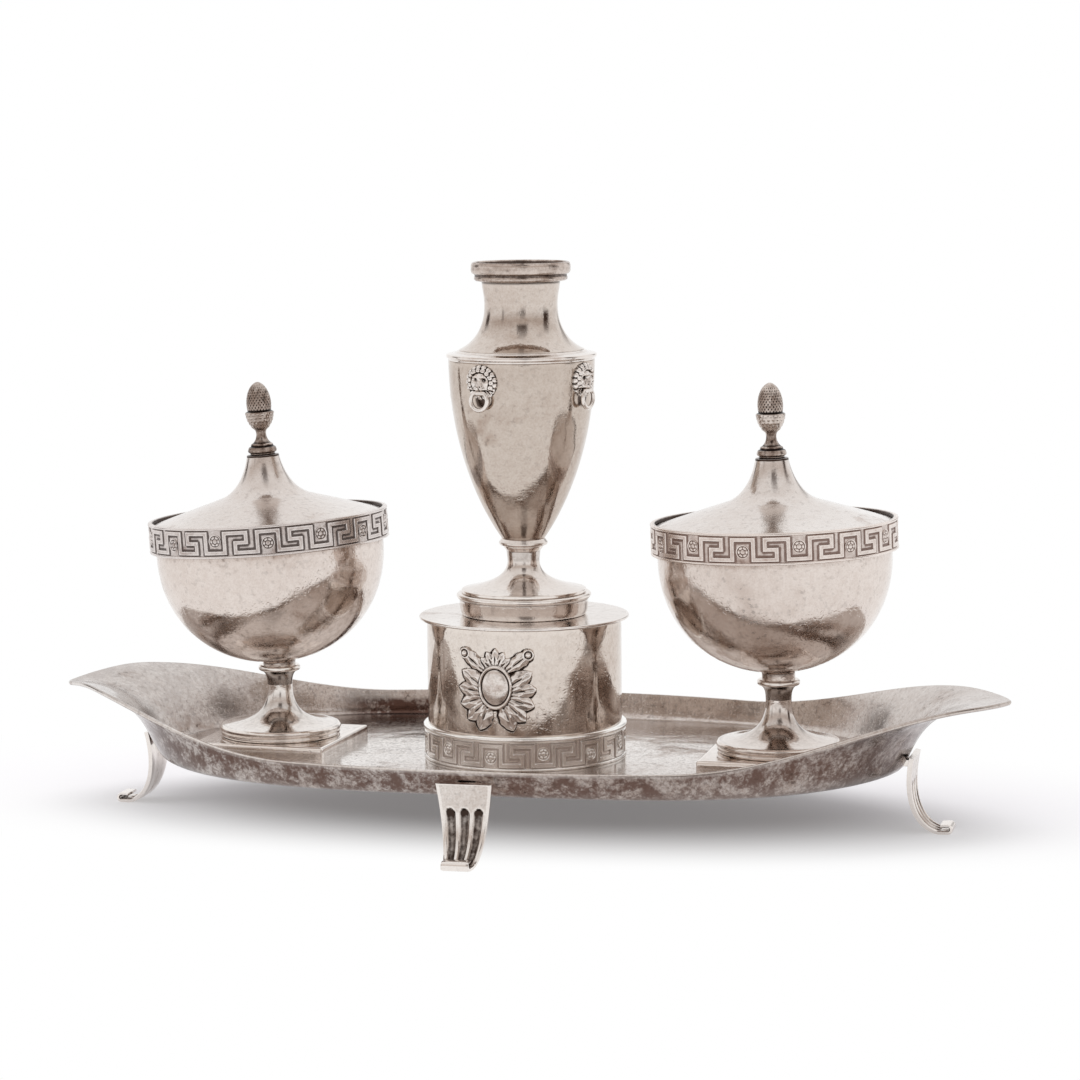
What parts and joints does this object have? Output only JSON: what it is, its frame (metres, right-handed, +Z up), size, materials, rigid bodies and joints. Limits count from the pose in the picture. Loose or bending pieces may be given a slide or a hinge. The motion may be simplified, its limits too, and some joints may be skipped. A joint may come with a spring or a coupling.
{
  "type": "desk inkstand",
  "caption": "Boat-shaped silver desk tray on fluted strap feet, with lidded ink and sand bowls and a round box whose lift-off cover carries a pen vase.",
  "frame": {"origin": "on the table under the middle of the tray", "axes": "+X along the tray to its right end as seen from the front, where the sand bowl stands; -Y to the front, where the box's ornament is; +Z up"},
  "size_m": [0.3208, 0.1764, 0.1838],
  "materials": {
    "silver": "aged sterling silver, softly polished",
    "dull_silver": "sterling silver with mottled tarnish",
    "dark_silver": "unpolished silver, hidden side",
    "glass": "clear blown and ground glass"
  },
  "bodies": {
    "stand": {"tray": "dull_silver", "foot_front": "silver", "foot_back": "silver", "foot_left": "silver", "foot_right": "silver", "box_wall": "silver", "box_base": "dark_silver", "box_band": "silver", "box_screw": "dark_silver", "box_nut": "dark_silver", "box_mount": "silver", "ink_plinth": "silver", "ink_foot": "silver", "ink_stud": "dark_silver", "ink_nut": "dark_silver", "ink_bowl": "dull_silver", "ink_band": "silver", "sand_plinth": "silver", "sand_foot": "silver", "sand_stud": "dark_silver", "sand_nut": "dark_silver", "sand_bowl": "dull_silver", "sand_band": "silver"},
    "ink_liner_body": {"ink_liner": "glass"},
    "ink_lid_body": {"ink_lid": "dull_silver", "ink_lid_bezel": "dark_silver", "ink_finial": "silver", "ink_finial_nut": "dark_silver"},
    "sand_sifter_body": {"sand_sifter": "silver"},
    "sand_lid_body": {"sand_lid": "dull_silver", "sand_lid_bezel": "dark_silver", "sand_finial": "silver", "sand_finial_nut": "dark_silver"},
    "cover": {"cover_plate": "silver", "cover_bezel": "dark_silver", "vase_step": "silver", "vase_foot": "silver", "vase_knop": "silver", "vase_body": "dull_silver", "vase_shoulder": "silver", "vase_neck": "silver", "vase_lip": "silver", "vase_tie_rod": "dark_silver", "vase_tie_nut": "dark_silver", "lion_mask_1": "silver", "lion_mask_2": "silver", "lion_mask_3": "silver", "lion_mask_4": "silver"},
    "ring_1": {"lion_ring_1": "silver"},
    "ring_2": {"lion_ring_2": "silver"},
    "ring_3": {"lion_ring_3": "silver"},
    "ring_4": {"lion_ring_4": "silver"}
  },
  "joints": [
    {"name": "ink_liner_lift", "type": "slide", "parent": "stand", "child": "ink_liner_body", "axis": [-0.0628, 0, 0.998], "range_m": [0, 0.05]},
    {"name": "ink_lid_lift", "type": "slide", "parent": "ink_liner_body", "child": "ink_lid_body", "axis": [-0.0628, 0, 0.998], "range_m": [0, 0.05]},
    {"name": "sand_sifter_lift", "type": "slide", "parent": "stand", "child": "sand_sifter_body", "axis": [-0.0297, 0, 0.9996], "range_m": [0, 0.05]},
    {"name": "sand_lid_lift", "type": "slide", "parent": "sand_sifter_body", "child": "sand_lid_body", "axis": [-0.0297, 0, 0.9996], "range_m": [0, 0.05]},
    {"name": "cover_lift", "type": "slide", "parent": "stand", "child": "cover", "axis": [0, 0, 1], "range_m": [0, 0.06]},
    {"name": "lion_ring_1_swing", "type": "hinge", "parent": "cover", "child": "ring_1", "pos_m": [-0.00829, -0.02408, 0.1425], "axis": [-0.9455, 0.3256, 0], "range_deg": [-8, 85]},
    {"name": "lion_ring_2_swing", "type": "hinge", "parent": "cover", "child": "ring_2", "pos_m": [0.02408, -0.00829, 0.1425], "axis": [-0.3256, -0.9455, 0], "range_deg": [-8, 85]},
    {"name": "lion_ring_3_swing", "type": "hinge", "parent": "cover", "child": "ring_3", "pos_m": [0.00829, 0.02408, 0.1425], "axis": [0.9455, -0.3256, 0], "range_deg": [-8, 85]},
    {"name": "lion_ring_4_swing", "type": "hinge", "parent": "cover", "child": "ring_4", "pos_m": [-0.02408, 0.00829, 0.1425], "axis": [0.3256, 0.9455, 0], "range_deg": [-8, 85]}
  ]
}
